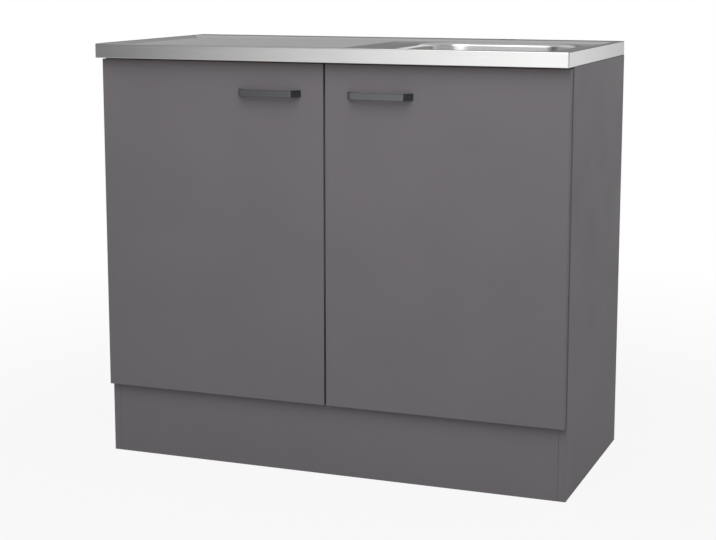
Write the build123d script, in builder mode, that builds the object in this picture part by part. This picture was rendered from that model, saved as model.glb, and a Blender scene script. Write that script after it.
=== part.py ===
from build123d import *
import os
from math import cos, radians, sin, sqrt, tan

# Kitchen sink unit, 1000 mm wide: a floor-standing chipboard carcass with two slab doors and a
# lay-on stainless sink top with a drainer on the left and a bowl on the right.
# Origin: middle of the footprint, on the floor. +Z up, the doors face -Y.

os.makedirs("parts", exist_ok=True)

# ---------------------------------------------------------------- driving sizes (mm)
width = 1000.0            # over the side panels and the sink's edge
sink_depth = 500.0        # front edge of the sink to its back edge
carcass_height = 850.0    # floor to the underside of the sink's edge
board = 16.0              # chipboard of panels, rails, plinth and doors
board_round = 0.8         # rounded edging of panels, plinth and doors
plinth_height = 150.0
rail_height = 100.0       # both rear rails, on edge
front_rail_height = 70.0

front_overhang = 27.0     # sink's edge in front of the doors
door_air = 2.0            # between the doors and the carcass
door_side_reveal = 2.0    # side panel shown beside a door
door_middle_gap = 4.0     # between the two doors
door_bottom_lift = 1.0    # door above the plinth's top edge
door_top_gap = 3.0        # door below the sink's edge

sheet = 1.0               # stainless sheet of the sink
sink_edge = 30.0          # folded edge all round
edge_round = 3.0          # bend at the top of the folded edge
edge_corner = 6.0         # vertical corners of the sink
rim = 14.0                # raised rim at the front and the sides
back_ledge = 55.0         # raised ledge for the tap
deck_drop = 5.0           # deck below the rim
deck_corner = 12.0
fold_lip = 9.0            # folded edge turned in at the bottom
fold_air = 0.3            # folded edge above the carcass

rib_pitch = 22.0
rib_margin = 20.0         # least flat deck in front of and behind the ribs
rib_width = 11.0
rib_height = 1.8
rib_length = 470.0
rib_start = 32.0          # from the sink's left edge to the ribs

bowl_width = 361.0        # opening in the deck
bowl_corner = 96.0
bowl_depth = 150.0
bowl_draft = 4.0          # degrees, walls lean in towards the bottom
bowl_lip = 9.0            # bend from the deck into the bowl
bowl_foot = 38.0          # bend from the walls into the bottom
bowl_right = 55.0         # from the sink's right edge to the opening
bowl_front = 57.0         # from the sink's front edge to the opening
bowl_back = 71.0          # from the opening to the sink's back edge

tap_hole = 35.0
tap_from_back = 35.0
tap_from_right = 251.0

handle_span = 138.0       # over both feet
handle_front = 111.0      # flat front of the strip
handle_height = 14.0
handle_reach = 24.0       # door to the strip's front
handle_strip = 4.0
handle_foot = 10.0
handle_spacing = 128.0    # between the two screws
handle_from_gap = 47.2    # handle's end to the door's free edge
handle_from_top = 60.5    # handle's middle below the door's top edge

cup_radius = 17.5
cup_depth = 12.0
cup_from_edge = 3.0       # cup's rim to the door's edge
cup_from_end = 100.0      # cup's middle to the door's top and bottom
cup_wall = 0.8
cup_flange = 1.0
door_pin_from_edge = 8.0  # hinge pin in the cup
door_pin_depth = 4.9
arm_pin_from_side = 12.0  # hinge pin in the arm, from the side panel's face
arm_pin_back = 2.5        # behind the carcass's front
hinge_pin = 1.3           # radius
pin_clearance = 0.08
link_width = 9.0
link_sheet = 1.8
opening_angle = 95.0      # how far a door opens
link_share = 0.4          # turn of the link for each degree that the door opens

cam_radius = 7.5
cam_depth = 12.5
cam_from_end = 24.0
fit_air = 0.3             # between pieces that lie in each other

waste_ring = 56.0         # radius of the strainer's flange
waste_throat = 41.5       # radius of its tube
waste_length = 34.0
waste_recess = 2.5        # flange let into the bowl's bottom
pipe_radius = 20.0
pipe_wall = 1.8
outlet_drop = 262.0       # trap outlet below the deck
overflow_below = 42.0     # overflow hole below the deck
overflow_radius = 12.0

# ---------------------------------------------------------------- places worked out
half = width / 2
inner = half - board                      # inner faces of the side panels
back_y = sink_depth / 2
carcass_depth = sink_depth - front_overhang - board - door_air
front_y = back_y - carcass_depth
door_back = front_y - door_air
door_front = door_back - board
door_width = (width - 2 * door_side_reveal - door_middle_gap) / 2
door_low = plinth_height + door_bottom_lift
door_high = carcass_height - door_top_gap
floor_top = plinth_height + board
rim_z = carcass_height + sink_edge
deck_z = rim_z - deck_drop
deck_front = -sink_depth / 2 + rim
deck_back = back_y - back_ledge
rib_count = int((deck_back - deck_front - 2 * rib_margin - rib_width) / rib_pitch) + 1
bowl_length = sink_depth - bowl_front - bowl_back
bowl_x = half - bowl_right - bowl_width / 2
bowl_y = -sink_depth / 2 + bowl_front + bowl_length / 2
bowl_bottom = deck_z - bowl_depth
tap_x = half - tap_from_right
tap_y = back_y - tap_from_back
outlet_z = deck_z - outlet_drop
door_far = half - door_side_reveal        # hinged edge of a door
cup_x = door_far - cup_from_edge - cup_radius
hinge_heights = (door_low + cup_from_end, door_high - cup_from_end)


def finish(piece, name):
    piece.part.label = name
    export_step(piece.part, f"parts/{name}.step")


def block(x, y, z, mode=Mode.ADD):
    # a board from its low and high value along each axis
    with BuildSketch(Plane.XY.offset(z[0])) as face:
        with Locations(((x[0] + x[1]) / 2, (y[0] + y[1]) / 2)):
            Rectangle(x[1] - x[0], y[1] - y[0])
    extrude(face.sketch, amount=z[1] - z[0], mode=mode)


def turned(points, plane=Plane.XZ, mode=Mode.ADD):
    # a ring or disc turned about the plane's upright axis, from (radius, height) points
    with BuildSketch(plane) as face:
        with BuildLine():
            Polyline(*points, close=True)
        make_face()
    revolve(face.sketch, axis=Axis(plane.origin, plane.y_dir), mode=mode)


# ---------------------------------------------------------------- screws and their seats
screw_radius = 1.8
screw_head = 3.6
screw_head_high = 1.8
screw_tip = 3.0
screw_bite = 0.05          # pilot hole beyond the shank
board_screw = board - 2.0  # shank of the screws that hold metal to the boards
cup_screw = board - 3.0
bracket_leg = 26.0
bracket_wide = 20.0
bracket_sheet = 2.0
bracket_bend = 3.0
bracket_hole = 15.6        # from the bracket's corner
plinth_bracket_z = plinth_height / 2
clamp_inset = 90.0         # clamps from the side panel's front and back
clamp_ys = (front_y + clamp_inset, back_y - clamp_inset)
plate_line = 37.0          # hinge plate's screws behind the carcass's front
plate_reach = 32.0         # between them
plate_sheet = 1.5
ear_reach = 52.0           # between the screws in a hinge cup's ears


def seat(x, y, z, way):
    # the plane under a screw's head, looking the way the screw comes out
    return Plane((x, y, z), x_dir=(0, 0, 1) if way[2] == 0 else (1, 0, 0), z_dir=way)


def screw(seated, length):
    # a pan-head screw whose head stands on its seat and whose shank runs below it
    turned(
        [
            (0, -length), (screw_radius, screw_tip - length), (screw_radius, 0), (screw_head, 0),
            (screw_head - screw_head_high / 2, screw_head_high), (0, screw_head_high),
        ],
        Plane(seated.origin, x_dir=seated.x_dir, z_dir=-seated.y_dir),
    )


def drill(seated, length, spare=screw_bite):
    # the hole for a screw of that length on that seat
    with BuildSketch(seated) as mouth:
        Circle(screw_radius + spare)
    extrude(mouth.sketch, amount=-length - spare, mode=Mode.SUBTRACT)


def panel_seats(side):
    # clamps under the sink and the bracket of the plinth, all on the side panel's inner face
    face = side * (inner - bracket_sheet)
    seats = [seat(face, y, carcass_height - bracket_hole, (-side, 0, 0)) for y in clamp_ys]
    return seats + [seat(face, front_y + board + bracket_hole, plinth_bracket_z, (-side, 0, 0))]


def batten_seats(side):
    return [
        seat(side * (inner - bracket_hole), y, carcass_height - bracket_sheet, (0, 0, -1))
        for y in clamp_ys
    ]


def plinth_seat(side):
    return seat(
        side * (inner - bracket_hole), front_y + board + bracket_sheet, plinth_bracket_z, (0, 1, 0)
    )


def plate_seats(side):
    return [
        seat(side * (inner - plate_sheet), front_y + plate_line, z + step * plate_reach / 2, (-side, 0, 0))
        for z in hinge_heights for step in (-1, 1)
    ]


def cup_seats(side):
    return [
        seat(side * cup_x, door_back + cup_flange, z + step * ear_reach / 2, (0, 1, 0))
        for z in hinge_heights for step in (-1, 1)
    ]


# ---------------------------------------------------------------- carcass
# Each end joint is a cam in the lying or standing board and a bolt in the side panel. It is given
# by its place on the side panel and by the direction from which the cam is let in.
joint_inset = 50.0
bottom_mid = plinth_height + board / 2
rail_y = back_y - board / 2
front_rail_y = front_y + board / 2
front_rail_low = carcass_height - front_rail_height
rear_top_low = carcass_height - rail_height
rear_low_high = floor_top + rail_height
joints = {
    "bottom_panel": [(front_y + joint_inset, bottom_mid), (back_y - joint_inset, bottom_mid)],
    "front_rail": [(front_rail_y, front_rail_low + front_rail_height / 2)],
    "rear_top_rail": [(rail_y, rear_top_low + rail_height / 2)],
    "rear_low_rail": [(rail_y, floor_top + rail_height / 2)],
}
cam_from = {
    "bottom_panel": Vector(0, 0, -1),
    "front_rail": Vector(0, 1, 0),
    "rear_top_rail": Vector(0, -1, 0),
    "rear_low_rail": Vector(0, -1, 0),
}
bolt_radius = 3.0
bolt_bore = bolt_radius + fit_air
bolt_in_side = 11.0
bolt_in_board = cam_from_end - 1.5


def cam_plane(side, y, z, facing):
    # the plane of the board's face that the cam is let into, at the cam's middle
    middle = Vector(side * (inner - cam_from_end), y, z)
    return Plane(middle + facing * (board / 2), x_dir=(1, 0, 0), z_dir=facing)


def joint_holes(name):
    for side in (-1, 1):
        for y, z in joints[name]:
            with BuildSketch(cam_plane(side, y, z, cam_from[name])) as pocket:
                Circle(cam_radius + fit_air)
            extrude(pocket.sketch, amount=-cam_depth - fit_air, mode=Mode.SUBTRACT)
            end = Plane((side * inner, y, z), x_dir=(0, 1, 0), z_dir=(-side, 0, 0))
            with BuildSketch(end) as bore:
                Circle(bolt_bore)
            extrude(bore.sketch, amount=cam_from_end, mode=Mode.SUBTRACT)


def side_panel(side):
    with BuildPart() as panel:
        block(sorted((side * inner, side * half)), (front_y, back_y), (0, carcass_height))
        fillet(panel.faces().sort_by(Axis.Y)[0].edges().filter_by(Axis.Z), board_round)
        for places in joints.values():
            for y, z in places:
                with BuildSketch(Plane((side * inner, y, z), x_dir=(0, 1, 0), z_dir=(side, 0, 0))):
                    Circle(bolt_bore)
                extrude(amount=bolt_in_side + fit_air, mode=Mode.SUBTRACT)
        for seated in panel_seats(side) + plate_seats(side):
            drill(seated, board_screw)
    return panel


for side, hand in ((-1, "left"), (1, "right")):
    finish(side_panel(side), f"{hand}_side_panel")

with BuildPart() as bottom_panel:
    block((-inner, inner), (front_y, back_y), (plinth_height, floor_top))
    joint_holes("bottom_panel")
finish(bottom_panel, "bottom_panel")

with BuildPart() as front_rail:
    block((-inner, inner), (front_y, front_y + board), (front_rail_low, carcass_height))
    joint_holes("front_rail")
finish(front_rail, "front_rail")

with BuildPart() as rear_top_rail:
    block((-inner, inner), (back_y - board, back_y), (rear_top_low, carcass_height))
    joint_holes("rear_top_rail")
finish(rear_top_rail, "rear_top_rail")

with BuildPart() as rear_low_rail:
    block((-inner, inner), (back_y - board, back_y), (floor_top, rear_low_high))
    joint_holes("rear_low_rail")
finish(rear_low_rail, "rear_low_rail")

with BuildPart() as plinth_board:
    block((-inner, inner), (front_y, front_y + board), (0, plinth_height))
    fillet(plinth_board.faces().sort_by(Axis.Y)[0].edges().filter_by(Axis.Z), board_round)
    for side in (-1, 1):
        drill(plinth_seat(side), board_screw)
finish(plinth_board, "plinth_board")

# cams: a disc with a mouth for the bolt's head and a cross slot for the screwdriver
cam_mouth = 7.4
cam_mouth_high = 8.6
cross_long = 9.0
cross_wide = 2.2
cross_deep = 3.0
with BuildPart() as cam_fittings:
    for name, places in joints.items():
        for side in (-1, 1):
            for y, z in places:
                face = cam_plane(side, y, z, cam_from[name])
                with BuildSketch(face):
                    Circle(cam_radius)
                extrude(amount=-cam_depth)
                with BuildSketch(face):
                    Rectangle(cross_long, cross_wide)
                    Rectangle(cross_wide, cross_long)
                extrude(amount=-cross_deep, mode=Mode.SUBTRACT)
                with BuildSketch(face.offset(-board / 2 - cam_mouth_high / 2)):
                    with Locations((side * cam_radius, 0)):
                        Rectangle(2 * cam_radius, cam_mouth)
                extrude(amount=cam_mouth_high, mode=Mode.SUBTRACT)
finish(cam_fittings, "cam_fittings")

# cam bolts: thread in the side panel, shank, thin neck and head in the cam
neck_radius = 2.0
head_long = 3.0
neck_long = 4.0
with BuildPart() as cam_bolts:
    for side in (-1, 1):
        for places in joints.values():
            for y, z in places:
                outer_end = side * bolt_in_side
                tip = -side * bolt_in_board
                neck = tip + side * head_long
                shoulder = neck + side * neck_long
                with BuildSketch(Plane((side * inner, y, z), x_dir=(1, 0, 0), z_dir=(0, 0, 1))):
                    with BuildLine():
                        Polyline(
                            (outer_end, 0), (outer_end, bolt_radius), (shoulder, bolt_radius),
                            (shoulder, neck_radius), (neck, neck_radius), (neck, bolt_radius),
                            (tip, bolt_radius), (tip, 0), close=True,
                        )
                    make_face()
                revolve(axis=Axis((side * inner, y, z), (1, 0, 0)))
finish(cam_bolts, "cam_bolts")

# corner brackets behind the plinth and clamps that hold the sink's battens to the carcass
def bracket(plane):
    # an angle whose legs run along the plane's +X and +Y, centred on the plane
    with BuildSketch(plane.offset(-bracket_wide / 2)) as angle:
        with BuildLine():
            Polyline(
                (0, 0), (bracket_leg, 0), (bracket_leg, bracket_sheet),
                (bracket_sheet, bracket_sheet), (bracket_sheet, bracket_leg), (0, bracket_leg),
                close=True,
            )
        make_face()
        inside = angle.vertices().sort_by_distance((bracket_sheet, bracket_sheet))[0]
        fillet(inside, bracket_bend)
    extrude(angle.sketch, amount=bracket_wide)


with BuildPart() as plinth_brackets:
    for side in (-1, 1):
        corner = (side * inner, front_y + board, plinth_bracket_z)
        bracket(Plane(corner, x_dir=(-side, 0, 0), z_dir=(0, 0, -side)))
        for seated in (panel_seats(side)[-1], plinth_seat(side)):
            drill(seated, bracket_sheet, fit_air)
finish(plinth_brackets, "plinth_brackets")

# ---------------------------------------------------------------- sink top
def pressed_form(inset):
    # the sheet's upper side, or its lower side when inset by the sheet's thickness
    spread = 2 * inset * (sqrt(2) - 1)
    deck_long = width - 2 * rim
    deck_wide = deck_back - deck_front
    with BuildPart() as form:
        with BuildSketch(Plane.XY.offset(carcass_height + fold_air)):
            RectangleRounded(width - 2 * inset, sink_depth - 2 * inset, edge_corner - inset)
        extrude(amount=sink_edge - fold_air - inset)
        fillet(form.faces().sort_by(Axis.Z)[-1].edges(), edge_round - inset)
        with BuildSketch(Plane.XY.offset(rim_z - inset)):
            with Locations((0, (deck_front + deck_back) / 2)):
                RectangleRounded(deck_long + spread, deck_wide + spread, deck_corner)
        with BuildSketch(Plane.XY.offset(deck_z - inset)):
            with Locations((0, (deck_front + deck_back) / 2)):
                RectangleRounded(
                    deck_long + spread - 2 * deck_drop, deck_wide + spread - 2 * deck_drop,
                    deck_corner - deck_drop,
                )
        loft(mode=Mode.SUBTRACT)
    return form


rib_radius = (rib_width**2 / 4 + rib_height**2) / (2 * rib_height)
rib_x0 = -half + rib_start + rib_width / 2
rib_x1 = rib_x0 + rib_length
rib_mid = (deck_front + deck_back) / 2
rib_rows = [rib_mid + (i - (rib_count - 1) / 2) * rib_pitch for i in range(rib_count)]
underside = pressed_form(sheet)

with BuildPart() as sink_top:
    add(pressed_form(0.0).part)
    add(underside.part, mode=Mode.SUBTRACT)
    # lip of the folded edge, turned in under the sink
    with BuildSketch(Plane.XY.offset(carcass_height + fold_air)):
        RectangleRounded(width - sheet, sink_depth - sheet, edge_corner)
        Rectangle(width - 2 * fold_lip, sink_depth - 2 * fold_lip, mode=Mode.SUBTRACT)
    extrude(amount=sheet)
    # drainer ribs: a low arched ridge with a round end
    for y in rib_rows:
        with BuildSketch(Plane.YZ.offset(rib_x0)):
            with BuildLine():
                ThreePointArc(
                    (y - rib_width / 2, deck_z), (y, deck_z + rib_height), (y + rib_width / 2, deck_z)
                )
                Line((y + rib_width / 2, deck_z), (y - rib_width / 2, deck_z))
            make_face()
        extrude(amount=rib_length)
        for x in (rib_x0, rib_x1):
            with BuildSketch(Plane((x, y, 0), x_dir=(1, 0, 0), z_dir=(0, -1, 0))):
                with BuildLine():
                    RadiusArc((0, deck_z + rib_height), (rib_width / 2, deck_z), rib_radius)
                    Polyline((rib_width / 2, deck_z), (0, deck_z), (0, deck_z + rib_height))
                make_face()
            revolve(axis=Axis((x, y, 0), (0, 0, 1)))
    # opening for the bowl and hole for the tap
    with BuildSketch(Plane.XY.offset(deck_z - 2 * deck_drop)):
        with Locations((bowl_x, bowl_y)):
            RectangleRounded(bowl_width, bowl_length, bowl_corner)
    extrude(amount=4 * deck_drop, mode=Mode.SUBTRACT)
    with BuildSketch(Plane.XY.offset(rim_z - 2 * deck_drop)):
        with Locations((tap_x, tap_y)):
            Circle(tap_hole / 2)
    extrude(amount=4 * deck_drop, mode=Mode.SUBTRACT)
finish(sink_top, "sink_top")

# ---------------------------------------------------------------- bowl
def bowl_form(inset, top, cover):
    # the room in the bowl, or the bowl's outside when inset is minus the sheet's thickness
    wall = 2 * (bowl_lip + inset)
    with BuildPart() as form:
        with BuildSketch(Plane.XY.offset(top)):
            with Locations((bowl_x, bowl_y)):
                RectangleRounded(bowl_width + 2 * cover, bowl_length + 2 * cover, bowl_corner + cover)
        extrude(amount=deck_drop)
        with BuildSketch(Plane.XY.offset(top)):
            with Locations((bowl_x, bowl_y)):
                RectangleRounded(bowl_width - wall, bowl_length - wall, bowl_corner - wall / 2)
        extrude(amount=-bowl_depth, taper=bowl_draft)
        fillet(form.faces().sort_by(Axis.Z)[0].edges(), bowl_foot - inset)
        flange = form.faces().filter_by(Plane.XY).filter_by_position(Axis.Z, top - 0.01, top + 0.01)[0]
        fillet(flange.inner_wires()[0].edges(), bowl_lip + inset)
    return form


bowl_room = bowl_form(0.0, deck_z, bowl_lip)
hole_radius = waste_throat + 2 * sheet
with BuildPart() as sink_bowl:
    add(bowl_form(-sheet, deck_z - sheet, 0.0).part)
    add(bowl_room.part, mode=Mode.SUBTRACT)
    # recess and hole for the strainer's flange
    recess_low = bowl_bottom - waste_recess
    with BuildSketch(Plane.XY.offset(recess_low - sheet)):
        with Locations((bowl_x, bowl_y)):
            Circle(waste_ring + 2 * sheet)
    extrude(amount=waste_recess)
    with BuildSketch(Plane.XY.offset(recess_low)):
        with Locations((bowl_x, bowl_y)):
            Circle(waste_ring + sheet)
    extrude(amount=2 * waste_recess, mode=Mode.SUBTRACT)
    with BuildSketch(Plane.XY.offset(recess_low - 2 * sheet)):
        with Locations((bowl_x, bowl_y)):
            Circle(hole_radius)
    extrude(amount=4 * sheet, mode=Mode.SUBTRACT)
    # overflow hole in the left wall
    with BuildSketch(Plane.YZ.offset(bowl_x - bowl_width / 2)):
        with Locations((bowl_y, deck_z - overflow_below)):
            Circle(overflow_radius - 1)
    extrude(amount=3 * bowl_lip, mode=Mode.SUBTRACT)
finish(sink_bowl, "sink_bowl")

# ---------------------------------------------------------------- battens and clamps
batten_wide = 38.5         # side battens
batten_air = 0.5
batten_high = deck_z - sheet
batten_front = bowl_y - bowl_length / 2 - 2 * batten_air
rear_batten_y = deck_back + deck_drop + 3.0
tap_room = 35.0            # open beside the tap hole's middle
batten_x = half - fold_lip - batten_air
batten_fore = -sink_depth / 2 + fold_lip + batten_air
batten_rear = back_y - fold_lip - batten_air
with BuildPart() as sink_battens:
    # front, side and rear battens, the rear one open for the tap
    for side in (-1, 1):
        block(
            sorted((side * batten_x, side * (batten_x - batten_wide))),
            (batten_front + batten_air, rear_batten_y - batten_air), (carcass_height, batten_high),
        )
    block((-batten_x, batten_x), (batten_fore, batten_front), (carcass_height, batten_high))
    for x in ((-batten_x, tap_x - tap_room), (tap_x + tap_room, batten_x)):
        block(x, (rear_batten_y, batten_rear), (carcass_height, rim_z - sheet))
    for side in (-1, 1):
        for seated in batten_seats(side):
            drill(seated, board)
finish(sink_battens, "sink_battens")

with BuildPart() as sink_clamps:
    for side in (-1, 1):
        for y in clamp_ys:
            bracket(Plane((side * inner, y, carcass_height), x_dir=(0, 0, -1), z_dir=(0, side, 0)))
        for seated in panel_seats(side)[:-1] + batten_seats(side):
            drill(seated, bracket_sheet, fit_air)
finish(sink_clamps, "sink_clamps")

with BuildPart() as bracket_screws:
    for side in (-1, 1):
        for seated in panel_seats(side) + [plinth_seat(side)]:
            screw(seated, board_screw)
        for seated in batten_seats(side):
            screw(seated, board)
finish(bracket_screws, "bracket_screws")

# ---------------------------------------------------------------- doors
handle_mid = door_middle_gap / 2 + handle_from_gap + handle_span / 2
handle_z = door_high - handle_from_top
handle_screw_radius = 2.0
pin_x = door_far - door_pin_from_edge
pin_y = door_back - door_pin_depth
arm_pin_x = inner - arm_pin_from_side
arm_pin_y = front_y + arm_pin_back


def cup_plane(side, z):
    return Plane((side * cup_x, door_back, z), x_dir=(1, 0, 0), z_dir=(0, 1, 0))


def handle_planes(side, y):
    return [
        Plane((side * handle_mid + step * handle_spacing / 2, y, handle_z), x_dir=(1, 0, 0), z_dir=(0, 1, 0))
        for step in (-1, 1)
    ]


def door(side):
    with BuildPart() as leaf:
        block(sorted((side * door_far, side * (door_far - door_width))), (door_front, door_back),
              (door_low, door_high))
        fillet(leaf.faces().sort_by(Axis.Y)[0].edges(), board_round)
        for z in hinge_heights:
            with BuildSketch(cup_plane(side, z)):
                Circle(cup_radius + fit_air)
            extrude(amount=-cup_depth - fit_air, mode=Mode.SUBTRACT)
        for seated in cup_seats(side):
            drill(seated, cup_screw)
        for plane in handle_planes(side, door_back):
            with BuildSketch(plane):
                Circle(handle_screw_radius + fit_air)
            extrude(amount=-2 * board, mode=Mode.SUBTRACT)
    return leaf


handle_round = 1.0
handle_thread = 4.2        # screw in the foot
handle_head = 1.6


def handle(side):
    # a strip bent back at both ends, with thickened feet that take the screws
    foot_in = handle_span / 2 - handle_foot
    knee_in = handle_front / 2 - handle_strip
    with BuildPart() as bow:
        with BuildSketch(Plane.XY.offset(handle_z - handle_height / 2)):
            with Locations((side * handle_mid, door_front)):
                with BuildLine(mode=Mode.PRIVATE) as outline:
                    Polyline(
                        (-handle_span / 2, 0), (-handle_front / 2, -handle_reach),
                        (handle_front / 2, -handle_reach), (handle_span / 2, 0), (foot_in, 0),
                        (knee_in, -handle_reach + handle_strip), (-knee_in, -handle_reach + handle_strip),
                        (-foot_in, 0), close=True,
                    )
                add(make_face(outline.edges(), mode=Mode.PRIVATE))
        extrude(amount=handle_height)
        front = bow.faces().sort_by(Axis.Y)[0]
        chamfer(front.edges(), handle_round)
        for plane in handle_planes(side, door_front):
            with BuildSketch(plane):
                Circle(handle_screw_radius + screw_bite)
            extrude(amount=-handle_thread - fit_air, mode=Mode.SUBTRACT)
    return bow


def handle_screws(side):
    with BuildPart() as pair:
        for plane in handle_planes(side, door_back):
            turned(
                [
                    (0, -board - handle_thread), (handle_screw_radius, -board - handle_thread),
                    (handle_screw_radius, 0), (screw_head, 0), (screw_head * 0.8, handle_head),
                    (0, handle_head),
                ],
                Plane(plane.origin, x_dir=plane.x_dir, z_dir=-plane.y_dir),
            )
    return pair


bumper_radius = 4.0
bumper_air = 0.3
bumper_in = 12.0


def door_bumpers(side):
    free_edge = side * (door_far - door_width + bumper_in)
    with BuildPart() as pads:
        for z in (plinth_height + board / 2, carcass_height - bumper_in):
            with BuildSketch(Plane((free_edge, door_back, z), z_dir=(0, 1, 0))):
                Circle(bumper_radius)
            extrude(amount=door_air - bumper_air)
    return pads


# hinge cup: flange with two ears on the door's back, pressed cup, and the pin across it
ear_wide = 12.0
cup_rim = 1.5              # flange beyond the cup
pin_half = 7.5


def hinge_cups(side):
    with BuildPart() as cups:
        for z in hinge_heights:
            place = cup_plane(side, z)
            with BuildSketch(place):
                Circle(cup_radius + cup_rim)
                SlotOverall(ear_reach + ear_wide, ear_wide, rotation=90)
            extrude(amount=cup_flange)
            with BuildSketch(place):
                Circle(cup_radius)
            extrude(amount=-cup_depth)
            with BuildSketch(place.offset(cup_flange)):
                Circle(cup_radius - cup_wall)
            extrude(amount=-cup_depth - cup_flange + cup_wall, mode=Mode.SUBTRACT)
            with BuildSketch(Plane.XY.offset(z - pin_half)):
                with Locations((side * pin_x, pin_y)):
                    Circle(hinge_pin)
            extrude(amount=2 * pin_half)
        for seated in cup_seats(side):
            drill(seated, cup_flange, fit_air)
    return cups


# The link is bent so that it reaches under the cup's rim when the door is shut and over the rim
# when it is open. Its bends are given in the open door's frame and turned back to the shut one.
link_turn = radians(opening_angle * (1 + link_share))
open_bends = ((-0.4, 6.4), (-3.0, 7.3), (-8.0, 7.5))
link_bend = 1.2
eye_radius = 2.4


def link_points():
    # for the left door, from the pin in the cup to the pin in the arm
    points = [(-pin_x, pin_y)]
    for dx, dy in open_bends:
        x = dx * cos(link_turn) + dy * sin(link_turn)
        y = -dx * sin(link_turn) + dy * cos(link_turn)
        points.append((-pin_x + x, pin_y + y))
    points.append((-arm_pin_x, arm_pin_y))
    return points


def hinge_links(side):
    points = [(-side * x, y) for x, y in link_points()]
    with BuildPart() as links:
        for z in hinge_heights:
            with BuildSketch(Plane.XY.offset(z - link_width / 2)):
                with BuildLine():
                    FilletPolyline(*points, radius=link_bend)
                trace(line_width=link_sheet)
                with Locations(points[0], points[-1]):
                    Circle(eye_radius)
                with Locations(points[0], points[-1]):
                    Circle(hinge_pin + pin_clearance, mode=Mode.SUBTRACT)
            extrude(amount=link_width)
    return links


# hinge arm: a channel with two cheeks round the link, its pin, and the plate on the side panel
cheek = 1.2
cheek_gap = link_width / 2 + 0.3
arm_long = 66.0
arm_foot = 3.0             # arm stands this far off the side panel, on the plate
arm_nose = 3.4             # radius round the pin
arm_tail = 6.0             # height of the channel at its back
arm_knee = 34.0            # where the channel starts to fall, behind the carcass's front
arm_mouth = 10.0           # open for the link up to here


def hinge_arms(side):
    def to_side(points):
        return [(side * x, y) for x, y in points]

    base_x = inner - arm_foot
    back = front_y + arm_long
    nose_top = arm_pin_x - arm_nose
    with BuildPart() as arms:
        for z in hinge_heights:
            # cheeks and web as one channel, open towards the side panel
            with BuildSketch(Plane.XY.offset(z - cheek_gap - cheek)):
                with BuildLine():
                    Polyline(
                        *to_side([
                            (base_x, arm_pin_y + arm_nose), (base_x, back), (base_x - arm_tail, back),
                            (nose_top, front_y + arm_knee), (nose_top, arm_pin_y),
                            (arm_pin_x, arm_pin_y),
                        ]),
                        close=True,
                    )
                make_face()
                with Locations((side * arm_pin_x, arm_pin_y)):
                    Circle(arm_nose)
            extrude(amount=2 * (cheek_gap + cheek))
            with BuildSketch(Plane.XY.offset(z - cheek_gap)):
                with BuildLine():
                    Polyline(
                        *to_side([
                            (half, front_y - 2 * arm_nose), (half, back + 1.0),
                            (base_x - arm_tail + cheek, back + 1.0),
                            (nose_top + cheek, front_y + arm_knee),
                            (nose_top + cheek, front_y + arm_mouth),
                            (nose_top - cheek, front_y + arm_mouth),
                            (nose_top - cheek, front_y - 2 * arm_nose),
                        ]),
                        close=True,
                    )
                make_face()
            extrude(amount=2 * cheek_gap, mode=Mode.SUBTRACT)
            with BuildSketch(Plane.XY.offset(z - cheek_gap - cheek / 2)):
                with Locations((side * arm_pin_x, arm_pin_y)):
                    Circle(hinge_pin)
            extrude(amount=2 * cheek_gap + cheek)
    return arms


plate_wide = 16.0
ridge_long = 44.0
ridge_shift = 2.0
ridge_high = 6.0
ridge_air = 0.3            # between the ridge and the arm's cheeks


def plate_plane(side, z):
    return Plane((side * inner, front_y + plate_line, z), x_dir=(0, 1, 0), z_dir=(-side, 0, 0))


def hinge_plates(side):
    with BuildPart() as plates:
        for z in hinge_heights:
            place = plate_plane(side, z)
            with BuildSketch(place):
                SlotOverall(plate_reach + plate_wide, plate_wide, rotation=90)
            extrude(amount=plate_sheet)
            with BuildSketch(place):
                with Locations((ridge_shift, 0)):
                    RectangleRounded(ridge_long, 2 * (cheek_gap - ridge_air), plate_sheet)
            extrude(amount=ridge_high)
        for seated in plate_seats(side):
            drill(seated, plate_sheet, fit_air)
    return plates


def seated_screws(seats, length):
    with BuildPart() as screws:
        for seated in seats:
            screw(seated, length)
    return screws


for side, hand in ((-1, "left"), (1, "right")):
    finish(door(side), f"{hand}_door")
    finish(handle(side), f"{hand}_handle")
    finish(handle_screws(side), f"{hand}_handle_screws")
    finish(door_bumpers(side), f"{hand}_door_bumpers")
    finish(hinge_cups(side), f"{hand}_hinge_cups")
    finish(seated_screws(cup_seats(side), cup_screw), f"{hand}_cup_screws")
    finish(hinge_links(side), f"{hand}_hinge_links")
    finish(hinge_arms(side), f"{hand}_hinge_arms")
    finish(hinge_plates(side), f"{hand}_hinge_plates")
    finish(seated_screws(plate_seats(side), board_screw), f"{hand}_plate_screws")

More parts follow.
